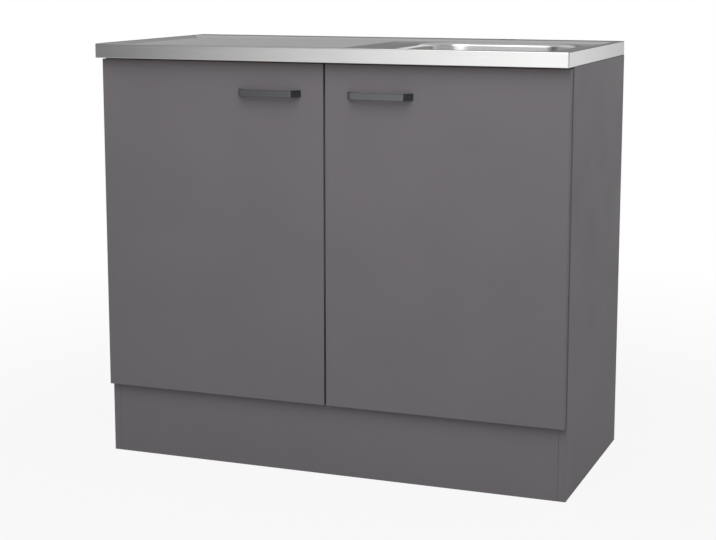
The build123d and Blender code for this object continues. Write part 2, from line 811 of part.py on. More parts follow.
# ---------------------------------------------------------------- strainer and waste
waste = Plane((bowl_x, bowl_y, bowl_bottom - waste_recess), x_dir=(1, 0, 0), z_dir=(0, -1, 0))
ring_sheet = 1.2
seat_wide = 3.0            # sloped seat of the basket's lip
seat_radius = waste_throat + seat_wide
seat_high = ring_sheet + 0.8
seat_low = -0.5
tube_out = waste_throat + ring_sheet
tube_low = -waste_length
drain_hole = 8.0
drain_ring = 0.62 * waste_throat
strainer_screw_radius = 2.8
strainer_screw_head = 5.5
strainer_screw_long = 9.0
strainer_screw_high = 3.0
with BuildPart() as strainer_flange:
    turned(
        [
            (waste_ring, 0), (waste_ring, ring_sheet), (seat_radius + seat_wide, seat_high),
            (seat_radius, seat_high), (waste_throat, seat_low), (waste_throat, tube_low + ring_sheet),
            (0, tube_low + ring_sheet), (0, tube_low), (tube_out, tube_low), (tube_out, seat_low),
            (hole_radius - fit_air, 0),
        ],
        waste,
    )
    with BuildSketch(Plane.XY.offset(waste.origin.Z + tube_low - 1)):
        with Locations((bowl_x, bowl_y)):
            with PolarLocations(drain_ring, 8):
                Circle(drain_hole)
            Circle(strainer_screw_radius + fit_air)
    extrude(amount=ring_sheet + 2, mode=Mode.SUBTRACT)
finish(strainer_flange, "strainer_flange")

# basket: hangs by its lip on the flange's slope; the knob on its stem lifts it out
basket_air = 0.8
basket_sheet = 1.0
basket_radius = waste_throat - basket_air
basket_deep = 24.0
basket_hole = 3.0
lip_radius = waste_throat + 1.2
stem_radius = 3.0
seat_slope = (seat_high - seat_low) / (seat_radius - waste_throat)
lip_high = seat_low + (lip_radius - waste_throat) * seat_slope + fit_air
knob_radius = 8.5
knob_high = 9.0
basket_floor = lip_high - basket_deep
with BuildPart() as strainer_basket:
    turned(
        [
            (lip_radius, lip_high), (lip_radius, lip_high + basket_sheet),
            (basket_radius - basket_sheet, lip_high + basket_sheet),
            (basket_radius - basket_sheet, basket_floor + basket_sheet),
            (stem_radius, basket_floor + basket_sheet), (stem_radius, lip_high + 2),
            (knob_radius - 2, lip_high + 4), (knob_radius, lip_high + knob_high - 2),
            (knob_radius - 2, lip_high + knob_high), (0, lip_high + knob_high),
            (0, basket_floor), (basket_radius, basket_floor), (basket_radius, lip_high),
        ],
        waste,
    )
    with BuildSketch(Plane.XY.offset(waste.origin.Z + basket_floor - 1)):
        with Locations((bowl_x, bowl_y)):
            for ring, holes in ((0.45, 6), (0.75, 12)):
                with PolarLocations(basket_radius * ring, holes):
                    Circle(basket_hole)
    extrude(amount=basket_sheet + 2, mode=Mode.SUBTRACT)
finish(strainer_basket, "strainer_basket")

# rubber stopper ring under the basket
stopper_high = 3.0
stopper_out = 11.0
stopper_in = 7.0
with BuildPart() as basket_stopper:
    turned(
        [
            (stopper_out, basket_floor), (stopper_out - 1, basket_floor - stopper_high),
            (stopper_in + 1, basket_floor - stopper_high), (stopper_in, basket_floor),
        ],
        waste,
    )
finish(basket_stopper, "basket_stopper")

# gasket and plastic body under the bowl
gasket_high = 3.0
gasket_air = 0.5
body_in = tube_out + 1.2
body_wall = 2.6
body_lip = 4.0             # thickness of the clamping flange
body_flange = waste_ring + 1.0
body_room = 16.0           # below the strainer's tube
body_low = -waste_length - body_room
body_top = -sheet - gasket_high
tail_long = 34.0
web_wide = 3.0             # bridge that holds the screw's nut
boss_radius = 6.0
with BuildPart() as waste_gasket:
    turned(
        [(hole_radius + gasket_air, -sheet), (body_flange, -sheet), (body_flange, body_top),
         (hole_radius + gasket_air, body_top)],
        waste,
    )
finish(waste_gasket, "waste_gasket")

spigot_long = 24.0
spigot_wall = 1.8
spigot_radius = 10.5       # bore
spigot_out = body_in + body_wall + spigot_long
spigot_rise = 22.0         # inlet's middle above the body's floor
spigot_z = body_low + spigot_rise
tail_low = body_low - tail_long
boss_high = tube_low - fit_air
with BuildPart() as waste_body:
    turned(
        [
            (body_flange, body_top), (body_in, body_top), (body_in, body_low + 2 * body_wall),
            (pipe_radius - pipe_wall, body_low), (pipe_radius - pipe_wall, tail_low),
            (pipe_radius, tail_low), (pipe_radius, body_low - body_wall),
            (body_in + body_wall, body_low + body_wall), (body_in + body_wall, body_top - body_lip),
            (body_flange, body_top - body_lip),
        ],
        waste,
    )
    # inlet for the overflow pipe, towards the left
    side_inlet = Plane((bowl_x, bowl_y, waste.origin.Z + spigot_z), x_dir=(0, 1, 0), z_dir=(-1, 0, 0))
    with BuildSketch(side_inlet.offset(body_in + body_wall / 2)):
        Circle(spigot_radius + spigot_wall)
    extrude(amount=spigot_out - body_in - body_wall / 2)
    with BuildSketch(side_inlet.offset(body_in - body_wall)):
        Circle(spigot_radius)
    extrude(amount=spigot_out, mode=Mode.SUBTRACT)
    # bridge across the tail with the boss that the strainer's screw bites into
    boss_low = boss_high - strainer_screw_long - body_wall
    with BuildSketch(Plane.XY.offset(waste.origin.Z + boss_low)):
        with Locations((bowl_x, bowl_y)):
            Circle(boss_radius)
            Rectangle(web_wide, 2 * body_in + body_wall)
    extrude(amount=boss_high - boss_low)
    with BuildSketch(Plane.XY.offset(waste.origin.Z + boss_high)):
        with Locations((bowl_x, bowl_y)):
            Circle(strainer_screw_radius + screw_bite)
    extrude(amount=-strainer_screw_long - fit_air, mode=Mode.SUBTRACT)
finish(waste_body, "waste_body")

# central screw that pulls the flange and the body together
screw_seat = tube_low + ring_sheet
with BuildPart() as strainer_screw:
    turned(
        [
            (0, tube_low - strainer_screw_long), (strainer_screw_radius, tube_low - strainer_screw_long),
            (strainer_screw_radius, screw_seat), (strainer_screw_head, screw_seat),
            (strainer_screw_head - 1, screw_seat + strainer_screw_high),
            (0, screw_seat + strainer_screw_high),
        ],
        waste,
    )
finish(strainer_screw, "strainer_screw")

# ---------------------------------------------------------------- bottle trap
trap_axis = Plane((bowl_x, bowl_y, 0), x_dir=(1, 0, 0), z_dir=(0, -1, 0))
tail_end = waste.origin.Z + tail_low
nut_high = 20.0
nut_radius = 29.0
nut_lip = 5.0              # closed end of the nut, over the pipe
nut_past = 6.0             # nut beyond the neck's end
nut_edge = 2.0
neck_wall = 2.6
neck_long = 24.0           # neck round the waste's tail
neck_out = pipe_radius + fit_air + neck_wall
neck_top = tail_end + neck_long
trap_out = 33.0
trap_wall = 2.6
shoulder_fall = 10.0
shoulder_z = neck_top - nut_high + nut_past - shoulder_fall
outlet_long = 30.0         # outlet neck beyond the body
rim_drop = 34.0            # body's lower rim below the outlet's middle
trap_rim = outlet_z - rim_drop
cup_out = 37.0
cup_deep = 62.0
cup_over = 10.0            # cup's collar above the rim
cup_taper = 2.0
trap_low = trap_rim - cup_deep
ridge_count = 10


def nut(plane):
    # a grip nut over a pipe, in the plane's +Z
    with BuildSketch(plane) as outline:
        RegularPolygon(nut_radius, 10)
    body = extrude(outline.sketch, amount=nut_high)
    chamfer(body.faces().sort_by(Axis(plane.origin, plane.z_dir))[-1].edges(), nut_edge)
    with BuildSketch(plane) as bore:
        Circle(pipe_radius + fit_air)
    extrude(bore.sketch, amount=nut_high, mode=Mode.SUBTRACT)
    with BuildSketch(plane) as neck:
        Circle(neck_out + fit_air)
    extrude(neck.sketch, amount=nut_high - nut_lip, mode=Mode.SUBTRACT)


with BuildPart() as trap_inlet_nut:
    nut(Plane((bowl_x, bowl_y, neck_top - nut_high + nut_past)))
finish(trap_inlet_nut, "trap_inlet_nut")

spigot_end = bowl_y + trap_out + outlet_long
neck_in = pipe_radius + fit_air
with BuildPart() as trap_body:
    turned(
        [
            (neck_in, neck_top), (neck_out, neck_top), (neck_out, shoulder_z + shoulder_fall),
            (trap_out, shoulder_z), (trap_out, trap_rim), (trap_out - trap_wall, trap_rim),
            (trap_out - trap_wall, shoulder_z - trap_wall), (neck_in, shoulder_z + shoulder_fall / 2),
        ],
        trap_axis,
    )
    outlet = Plane((bowl_x, bowl_y, outlet_z), x_dir=(1, 0, 0), z_dir=(0, 1, 0))
    with BuildSketch(outlet):
        Circle(neck_out)
    extrude(amount=spigot_end - bowl_y)
    # room inside the body and the bore of its outlet
    with BuildSketch(Plane.XY.offset(trap_rim)):
        with Locations((bowl_x, bowl_y)):
            Circle(trap_out - trap_wall)
    extrude(amount=shoulder_z - trap_wall - trap_rim, mode=Mode.SUBTRACT)
    with BuildSketch(outlet):
        Circle(neck_in)
    extrude(amount=2 * (spigot_end - bowl_y), mode=Mode.SUBTRACT)
finish(trap_body, "trap_body")

# dip pipe from the waste's tail into the cup
dip_sheet = pipe_wall
dip_out = pipe_radius - 2 * pipe_wall
dip_gap = 16.0             # dip pipe's end above the cup's floor
dip_low = trap_low + dip_gap
dip_flange = 3.0
with BuildPart() as dip_pipe:
    turned(
        [
            (pipe_radius, tail_end), (dip_out - dip_sheet, tail_end), (dip_out - dip_sheet, dip_low),
            (dip_out, dip_low), (dip_out, tail_end - dip_flange), (pipe_radius, tail_end - dip_flange),
        ],
        trap_axis,
    )
finish(dip_pipe, "dip_pipe")

# cup screwed on from below, with grip ridges on its collar
cup_in = trap_out - trap_wall
collar_drop = 8.0
collar_slope = 6.0
cup_foot = 8.0             # height of the slope round the cup's floor
cup_slope = 12.0
grip_wide = 2.4
grip_high = 1.2
collar_low = trap_rim - collar_drop
with BuildPart() as trap_cup:
    turned(
        [
            (trap_out + fit_air, trap_rim + cup_over), (cup_out, trap_rim + cup_over),
            (cup_out, collar_low), (trap_out, collar_low - collar_slope),
            (trap_out - cup_taper, trap_low + cup_foot), (trap_out - cup_slope, trap_low), (0, trap_low),
            (0, trap_low + trap_wall), (trap_out - cup_slope - trap_wall / 2, trap_low + trap_wall),
            (cup_in - cup_taper, trap_low + cup_foot + trap_wall / 2), (cup_in, collar_low),
            (cup_in, trap_rim),
            (trap_out + fit_air, trap_rim),
        ],
        trap_axis,
    )
    with BuildSketch(Plane.XY.offset(collar_low)):
        with Locations((bowl_x, bowl_y)):
            with PolarLocations(cup_out, ridge_count):
                Rectangle(2 * grip_high, grip_wide)
            Circle(cup_out - grip_high, mode=Mode.SUBTRACT)
    extrude(amount=trap_rim + cup_over - collar_low)
finish(trap_cup, "trap_cup")

nut_y = spigot_end - nut_high + nut_past
with BuildPart() as trap_outlet_nut:
    nut(Plane((bowl_x, nut_y, outlet_z), x_dir=(1, 0, 0), z_dir=(0, 1, 0)))
finish(trap_outlet_nut, "trap_outlet_nut")

outlet_air = 5.0           # pipe's end short of the unit's back
seal_step = 0.3            # pipe drawn in where the nut's seal grips it
grip_end = nut_y + nut_high + 1.0
pipe_start = bowl_y + trap_out
pipe_stop = back_y - outlet_air
with BuildPart() as outlet_pipe:
    turned(
        [
            (pipe_radius - pipe_wall, pipe_start), (pipe_radius - seal_step, pipe_start),
            (pipe_radius - seal_step, grip_end), (pipe_radius, grip_end), (pipe_radius, pipe_stop),
            (pipe_radius - pipe_wall, pipe_stop),
        ],
        Plane((bowl_x, 0, outlet_z)),
    )
finish(outlet_pipe, "outlet_pipe")

# ---------------------------------------------------------------- overflow
draft = radians(bowl_draft)
overflow_z = deck_z - overflow_below
wall_x = bowl_x - bowl_width / 2 + bowl_lip + overflow_below * tan(draft)
overflow = Plane((wall_x, bowl_y, overflow_z), x_dir=(0, 1, 0), z_dir=(cos(draft), 0, sin(draft)))
rose_radius = 17.0
rose_high = 2.2
rose_edge = 1.2
slot_ring = 8.0
wall_air = 0.1             # between flat pieces and the bowl's leaning wall
with BuildPart() as overflow_rose:
    with BuildSketch(overflow.offset(wall_air)):
        Circle(rose_radius)
    extrude(amount=rose_high)
    chamfer(overflow_rose.faces().sort_by(Axis(overflow.origin, overflow.z_dir))[-1].edges(), rose_edge)
    with BuildSketch(overflow):
        with PolarLocations(slot_ring, 8):
            SlotOverall(6.0, 2.6)
    extrude(amount=2 * rose_high, mode=Mode.SUBTRACT)
finish(overflow_rose, "overflow_rose")

# housing behind the wall, and a stiff pipe down to the waste body
housing_deep = 20.0
housing_radius = 18.0
housing_flange = 3.0
housing_wall = 3.0
socket_deep = 10.0
pipe_bore = 8.7
pipe_out = 10.2
socket_out = pipe_out + 2.3
fall_x = wall_x - sheet - housing_deep / 2 - 5.0
fall_top = overflow_z - housing_radius - 6.0
behind = overflow.offset(-sheet - wall_air)
with BuildPart() as overflow_housing:
    with BuildSketch(behind):
        Circle(housing_radius)
    extrude(amount=-housing_flange)
    with BuildSketch(behind):
        Circle(overflow_radius + housing_wall / 2)
    extrude(amount=-housing_deep - 1)
    with BuildSketch(Plane.XY.offset(fall_top)):
        with Locations((fall_x, bowl_y)):
            Circle(socket_out)
    extrude(amount=overflow_z - fall_top)
    with BuildSketch(behind):
        Circle(overflow_radius - housing_wall / 2)
    extrude(amount=-housing_deep + housing_wall, mode=Mode.SUBTRACT)
    for bore, deep in ((pipe_bore, overflow_z - fall_top), (pipe_out + screw_bite, socket_deep)):
        with BuildSketch(Plane.XY.offset(fall_top)):
            with Locations((fall_x, bowl_y)):
                Circle(bore)
        extrude(amount=deep, mode=Mode.SUBTRACT)
finish(overflow_housing, "overflow_housing")

pipe_bend = 26.0
pipe_z = waste.origin.Z + spigot_z
pipe_top = fall_top + socket_deep - fit_air
pipe_end = bowl_x - body_in - body_wall - spigot_long / 2
with BuildPart() as overflow_pipe:
    with BuildLine() as run:
        FilletPolyline(
            (fall_x, bowl_y, pipe_top), (fall_x, bowl_y, pipe_z), (pipe_end, bowl_y, pipe_z),
            radius=pipe_bend,
        )
    with BuildSketch(Plane((fall_x, bowl_y, pipe_top), z_dir=(0, 0, -1))):
        Circle(pipe_out)
        Circle(pipe_bore, mode=Mode.SUBTRACT)
    sweep(path=run.wires()[0])
finish(overflow_pipe, "overflow_pipe")
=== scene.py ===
import math

import bmesh
import bpy
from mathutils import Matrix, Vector


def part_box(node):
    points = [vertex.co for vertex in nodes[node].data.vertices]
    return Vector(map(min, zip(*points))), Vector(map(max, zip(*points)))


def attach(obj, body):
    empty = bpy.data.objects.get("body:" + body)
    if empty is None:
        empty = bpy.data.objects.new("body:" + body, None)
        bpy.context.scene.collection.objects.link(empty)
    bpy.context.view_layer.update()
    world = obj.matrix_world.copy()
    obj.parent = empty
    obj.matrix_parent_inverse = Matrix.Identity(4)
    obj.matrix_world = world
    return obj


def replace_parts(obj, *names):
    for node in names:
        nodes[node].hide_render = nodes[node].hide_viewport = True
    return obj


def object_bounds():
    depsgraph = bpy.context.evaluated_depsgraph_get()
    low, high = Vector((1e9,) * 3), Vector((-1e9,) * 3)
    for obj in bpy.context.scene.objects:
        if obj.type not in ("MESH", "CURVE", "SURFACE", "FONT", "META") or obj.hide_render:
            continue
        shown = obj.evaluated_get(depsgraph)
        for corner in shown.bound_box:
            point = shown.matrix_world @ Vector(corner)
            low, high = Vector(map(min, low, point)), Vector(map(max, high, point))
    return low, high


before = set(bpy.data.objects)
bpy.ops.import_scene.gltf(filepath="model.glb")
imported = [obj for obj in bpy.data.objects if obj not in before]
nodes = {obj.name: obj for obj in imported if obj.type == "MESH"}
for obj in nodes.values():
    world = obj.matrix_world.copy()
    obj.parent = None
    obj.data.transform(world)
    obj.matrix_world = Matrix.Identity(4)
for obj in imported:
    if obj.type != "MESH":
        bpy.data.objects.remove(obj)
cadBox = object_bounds()
print("frame loaded:", len(nodes), "nodes")

noiseReach = (0.3, 0.7)  # a noise pattern seldom leaves this range
wholeReach = (0.0, 1.0)


def linear(hexColour):  # sRGB hex to the linear values that a shader takes
    parts = [int(hexColour[i:i + 2], 16) / 255 for i in (1, 3, 5)]
    return tuple(p / 12.92 if p <= 0.04045 else ((p + 0.055) / 1.055) ** 2.4 for p in parts) + (1.0,)


def addNode(tree, kind, links=None, **settings):  # one node, its settings, then its values and links
    node = tree.nodes.new(kind)
    for name, value in settings.items():
        setattr(node, name, value)
    for name, value in (links or {}).items():
        if isinstance(value, bpy.types.NodeSocket):
            tree.links.new(value, node.inputs[name])
        else:
            node.inputs[name].default_value = value
    return node


def startMaterial(name, values):  # a principled surface, ready for its pattern
    material = bpy.data.materials.new(name)
    material.use_nodes = True
    tree = material.node_tree
    tree.nodes.clear()
    surface = addNode(tree, "ShaderNodeBsdfPrincipled", values)
    addNode(tree, "ShaderNodeOutputMaterial", {"Surface": surface.outputs["BSDF"]})
    place = addNode(tree, "ShaderNodeTexCoord").outputs["Object"]  # metres, in the cabinet's own frame
    return material, tree, surface, place


def closeShades(tree, pattern, darkHex, lightHex, reach=noiseReach):  # two shades of one colour
    share = addNode(tree, "ShaderNodeMapRange", {
        "Value": pattern, "From Min": reach[0], "From Max": reach[1]}).outputs["Result"]
    return addNode(tree, "ShaderNodeMix", {
        0: share, 6: linear(darkHex), 7: linear(lightHex)}, data_type="RGBA").outputs[2]


def varyRoughness(tree, surface, pattern, least, most):
    level = addNode(tree, "ShaderNodeMapRange", {
        "Value": pattern, "From Min": noiseReach[0], "From Max": noiseReach[1],
        "To Min": least, "To Max": most})
    tree.links.new(level.outputs["Result"], surface.inputs["Roughness"])


def pressRelief(tree, surface, pattern, strength, depth):  # depth in metres
    relief = addNode(tree, "ShaderNodeBump", {"Height": pattern, "Strength": strength, "Distance": depth})
    tree.links.new(relief.outputs["Normal"], surface.inputs["Normal"])


def dress(material, *names):  # a CAD node keeps its mesh and gets its finish
    for name in names:
        slots = nodes[name].data.materials
        slots.clear()
        slots.append(material)


board = {
    "dark": "#6f6b6f", "light": "#767276", "roughness": 0.5, "smoother": 0.04, "rougher": 0.06,
    "specular": 0.3, "grainMm": 1.6, "grainShare": 0.55, "grainRelief": 0.04, "grainDepth": 0.0004,
    "smudgeMm": 180,
    "chipDark": "#a1865e", "chipLight": "#d6bd92", "chipMm": 4, "rawDepth": 0.0004,  # raw edges
    "bareDark": "#a5875c", "bareLight": "#d3b98c", "bareRoughness": 0.85,            # bare battens
    "fibreMm": 1.43, "fibreRelief": 0.35, "fibreDepth": 0.0006,
}


def chipPattern(tree, place, darkHex, lightHex):  # pressed chips, each with its own shade
    chips = addNode(tree, "ShaderNodeTexVoronoi", {
        "Vector": place, "Scale": 1000 / board["chipMm"], "Randomness": 1.0})
    tone = addNode(tree, "ShaderNodeSeparateColor", {"Color": chips.outputs["Color"]})
    return closeShades(tree, tone.outputs["Red"], darkHex, lightHex, wholeReach)


def makeMelamine(name, rawSides=()):
    # Melamine faced chipboard, pressed against a satin plate: a flat grey with a fine pearl grain.
    # The real grain is about 0.4 mm; it is drawn at 1.6 mm so that it shows. Hidden edges carry no
    # edge band, so there the chips show; each raw side is an axis, a test and a place in metres.
    material, tree, surface, place = startMaterial(name, {
        "IOR": 1.5, "Specular IOR Level": board["specular"]})
    grain = addNode(tree, "ShaderNodeTexNoise", {
        "Vector": place, "Scale": 1000 / board["grainMm"], "Detail": 3.0, "Roughness": 0.6}).outputs["Fac"]
    smudge = addNode(tree, "ShaderNodeTexNoise", {
        "Vector": place, "Scale": 1000 / board["smudgeMm"], "Detail": 4.0, "Roughness": 0.55})
    smudge = smudge.outputs["Fac"]
    both = addNode(tree, "ShaderNodeMix", {0: board["grainShare"], 2: smudge, 3: grain}).outputs[0]
    colour = closeShades(tree, both, board["dark"], board["light"])
    if rawSides:
        chips = chipPattern(tree, place, board["chipDark"], board["chipLight"])
        along = addNode(tree, "ShaderNodeSeparateXYZ", {"Vector": place})
        for axis, test, limit in rawSides:
            raw = addNode(tree, "ShaderNodeMath", {0: along.outputs[axis], 1: limit}, operation=test)
            colour = addNode(tree, "ShaderNodeMix", {
                0: raw.outputs[0], 6: colour, 7: chips}, data_type="RGBA").outputs[2]
    tree.links.new(colour, surface.inputs["Base Color"])
    varyRoughness(tree, surface, smudge, board["roughness"] - board["smoother"],
                  board["roughness"] + board["rougher"])
    pressRelief(tree, surface, grain, board["grainRelief"], board["grainDepth"])
    return material


def makeRawChipboard(name):
    # Bare chipboard: pressed spruce chips of about 4 mm, pale and brown, with a rough open surface.
    material, tree, surface, place = startMaterial(name, {"Roughness": board["bareRoughness"], "IOR": 1.5})
    chips = chipPattern(tree, place, board["bareDark"], board["bareLight"])
    tree.links.new(chips, surface.inputs["Base Color"])
    fibre = addNode(tree, "ShaderNodeTexNoise", {
        "Vector": place, "Scale": 1000 / board["fibreMm"], "Detail": 3.0})
    pressRelief(tree, surface, fibre.outputs["Fac"], board["fibreRelief"], board["fibreDepth"])
    return material


steel = {
    "dark": "#cacaca", "light": "#d2d2d1", "lineMm": 0.9, "lineLongMm": 160, "lineDepth": 0.00005,
    "cloudMm": 90, "roughness": 0.17, "swing": 0.03, "lineRelief": 0.10, "bowlRoughness": 0.22,
    "fadeFrom": 0.1, "fadeTo": 0.6,  # how far a face turns across the lines before they are gone
}


def makeStainless(name, roughness, lineRelief):
    # Austenitic stainless sheet, cold rolled and brushed along its length before pressing: a soft,
    # slightly cloudy mirror with fine lines. The real lines are about 0.1 mm apart, drawn at 0.9 mm.
    material, tree, surface, place = startMaterial(name, {"Metallic": 1.0})
    fine = 1000 / steel["lineMm"]
    stretched = addNode(tree, "ShaderNodeVectorMath", {
        0: place, 1: (1000 / steel["lineLongMm"], fine, fine)}, operation="MULTIPLY")
    lines = addNode(tree, "ShaderNodeTexNoise", {
        "Vector": stretched.outputs[0], "Scale": 1.0, "Detail": 4.0, "Roughness": 0.65})
    cloud = addNode(tree, "ShaderNodeTexNoise", {
        "Vector": place, "Scale": 1000 / steel["cloudMm"], "Detail": 3.0, "Roughness": 0.5})
    # the lines run along the sheet, so they fade where its surface turns across their way
    facing = addNode(tree, "ShaderNodeSeparateXYZ", {
        "Vector": addNode(tree, "ShaderNodeNewGeometry").outputs["Normal"]})
    across = addNode(tree, "ShaderNodeMath", {0: facing.outputs["X"]}, operation="ABSOLUTE")
    fade = addNode(tree, "ShaderNodeMapRange", {
        "Value": across.outputs[0], "From Min": steel["fadeFrom"], "From Max": steel["fadeTo"]})
    brushed = addNode(tree, "ShaderNodeMix", {
        0: fade.outputs["Result"], 2: lines.outputs["Fac"], 3: 0.5}).outputs[0]
    tree.links.new(closeShades(tree, brushed, steel["dark"], steel["light"]), surface.inputs["Base Color"])
    both = addNode(tree, "ShaderNodeMix", {0: 0.5, 2: brushed, 3: cloud.outputs["Fac"]})
    varyRoughness(tree, surface, both.outputs[0], roughness - steel["swing"], roughness + steel["swing"])
    if lineRelief:
        pressRelief(tree, surface, brushed, lineRelief, steel["lineDepth"])
    return material


fitting = {"smoother": 0.03, "rougher": 0.05}


def makeFitting(name, darkHex, lightHex, roughness, bloomMm):
    # Pressed, turned or cast metal, most of it plated: one even tone with a faint bloom.
    material, tree, surface, place = startMaterial(name, {"Metallic": 1.0})
    bloom = addNode(tree, "ShaderNodeTexNoise", {
        "Vector": place, "Scale": 1000 / bloomMm, "Detail": 4.0, "Roughness": 0.6}).outputs["Fac"]
    tree.links.new(closeShades(tree, bloom, darkHex, lightHex), surface.inputs["Base Color"])
    varyRoughness(tree, surface, bloom, roughness - fitting["smoother"], roughness + fitting["rougher"])
    return material


moulded = {"smoother": 0.05, "rougher": 0.06, "cloudMm": 45.5, "grainDepth": 0.0003}


def makeMoulded(name, darkHex, lightHex, roughness, ior, grainMm, relief):
    # Injection moulded plastic or rubber: an even colour with the faint grain of the mould.
    material, tree, surface, place = startMaterial(name, {"IOR": ior})
    grain = addNode(tree, "ShaderNodeTexNoise", {
        "Vector": place, "Scale": 1000 / grainMm, "Detail": 3.0, "Roughness": 0.6})
    cloud = addNode(tree, "ShaderNodeTexNoise", {
        "Vector": place, "Scale": 1000 / moulded["cloudMm"], "Detail": 3.0}).outputs["Fac"]
    tree.links.new(closeShades(tree, cloud, darkHex, lightHex), surface.inputs["Base Color"])
    varyRoughness(tree, surface, cloud, roughness - moulded["smoother"], roughness + moulded["rougher"])
    pressRelief(tree, surface, grain.outputs["Fac"], relief, moulded["grainDepth"])
    return material


unitBack = cadBox[1][1] - board["rawDepth"]
melamine = makeMelamine("melamineFacedBoardSatin")
rawBack = makeMelamine("melamineFacedBoardRawBackEdge", [("Y", "GREATER_THAN", unitBack)])
chipboard = makeRawChipboard("rawChipboard")
sheetSteel = makeStainless("stainlessSheetBrushed", steel["roughness"], steel["lineRelief"])
bowlSteel = makeStainless("stainlessBowlSatin", steel["bowlRoughness"], 0.0)  # no lines left after drawing
blackNickel = makeFitting("blackNickelPlatedZinc", "#606162", "#646566", 0.2, 12)  # a dark, clear mirror
nickelPlate = makeFitting("nickelPlatedSteelPressed", "#b3aea4", "#cbc6bb", 0.24, 14)  # warm and bright
zincPlate = makeFitting("zincPlatedSteelTurned", "#a9acb0", "#c6c9cc", 0.32, 9)  # cooler and duller
castZinc = makeFitting("zincDieCast", "#8f9092", "#a9aaac", 0.45, 6)  # matt grey, left uncoated
whitePipe = makeMoulded("polypropyleneWhiteMoulded", "#dedfdc", "#e9eae7", 0.34, 1.49, 1.4, 0.05)  # glossy
greyNut = makeMoulded("polypropyleneGreyMoulded", "#9b9fa2", "#a9adb0", 0.42, 1.49, 1.2, 0.08)  # duller
clearPad = makeMoulded("polyurethanePadMoulded", "#c9c9c4", "#d6d6d1", 0.3, 1.5, 1.0, 0.02)  # pale, smooth
sealRubber = makeMoulded("rubberSealMoulded", "#18181a", "#222224", 0.7, 1.52, 0.8, 0.15)  # matt black

dress(melamine, "front_rail", "plinth_board", "left_door", "right_door")
dress(rawBack, "left_side_panel", "right_side_panel", "bottom_panel")
for rail in ("rear_top_rail", "rear_low_rail"):  # both long edges of a rail are left raw
    railLow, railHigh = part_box(rail)
    edges = [("Z", "LESS_THAN", railLow[2] + board["rawDepth"]),
             ("Z", "GREATER_THAN", railHigh[2] - board["rawDepth"])]
    dress(makeMelamine(rail + "MelamineRawEdges", edges), rail)
dress(chipboard, "sink_battens")
dress(sheetSteel, "sink_top", "strainer_flange", "strainer_basket", "overflow_rose")
dress(bowlSteel, "sink_bowl")
dress(castZinc, "cam_fittings")
dress(zincPlate, "cam_bolts", "plinth_brackets", "sink_clamps", "bracket_screws", "strainer_screw")
dress(whitePipe, "waste_body", "trap_body", "trap_cup", "dip_pipe", "outlet_pipe", "overflow_housing",
      "overflow_pipe")
dress(greyNut, "trap_inlet_nut", "trap_outlet_nut")
dress(sealRubber, "waste_gasket", "basket_stopper")
for hand in ("left_", "right_"):
    dress(blackNickel, hand + "handle")
    dress(clearPad, hand + "door_bumpers")
    dress(zincPlate, hand + "handle_screws", hand + "cup_screws", hand + "plate_screws")
    for piece in ("hinge_cups", "hinge_links", "hinge_arms", "hinge_plates"):
        dress(nickelPlate, hand + piece)
print("materials made")


def circle(count):  # the angles of points round a full turn
    return [2 * math.pi * i / count for i in range(count)]


def circleRing(x, y, radius, z, count):
    return [Vector((x + radius * math.cos(a), y + radius * math.sin(a), z)) for a in circle(count)]


def arcPoints(x, z, radius, first, last, steps):  # points on an arc, angles in degrees from the +x way
    angles = [math.radians(first + (last - first) * i / steps) for i in range(steps + 1)]
    return [(x + radius * math.cos(a), z + radius * math.sin(a)) for a in angles]


def pairs(loop):  # each corner of a closed loop with its next
    return zip(loop, loop[1:] + loop[:1])


def roundedRing(low, high, radius, z, steps, sideCuts=0):  # a rounded rectangle, in metres
    corners = ((high[0] - radius, high[1] - radius, 0), (low[0] + radius, high[1] - radius, 90),
               (low[0] + radius, low[1] + radius, 180), (high[0] - radius, low[1] + radius, 270))
    arcs = [[Vector((*point, z)) for point in arcPoints(x, y, radius, start, start + 90, steps)]
            for x, y, start in corners]
    points = []
    for arc, following in pairs(arcs):
        points += arc
        points += [arc[-1].lerp(following[0], (i + 1) / (sideCuts + 1)) for i in range(sideCuts)]
    return points


def newLoop(mesh, points):
    return [mesh.verts.new(p) for p in points]


def skin(mesh, rings):  # quads from ring to ring; returns the rings' own corners
    made = [newLoop(mesh, ring) for ring in rings]
    for one, two in zip(made, made[1:]):
        for (a, b), (c, d) in zip(pairs(one), pairs(two)):
            mesh.faces.new((a, b, d, c))
    return made


def fillBetween(mesh, loops, normal=(0, 0, 1)):  # a flat sheet between closed loops
    edges = [mesh.edges.get(pair) or mesh.edges.new(pair) for loop in loops for pair in pairs(loop)]
    bmesh.ops.triangle_fill(mesh, use_beauty=True, use_dissolve=False, edges=edges, normal=normal)


def bakeModifiers(piece):  # what the modifiers give becomes the piece's own mesh
    shaped = bpy.data.meshes.new_from_object(piece.evaluated_get(bpy.context.evaluated_depsgraph_get()))
    piece.modifiers.clear()
    piece.data = shaped


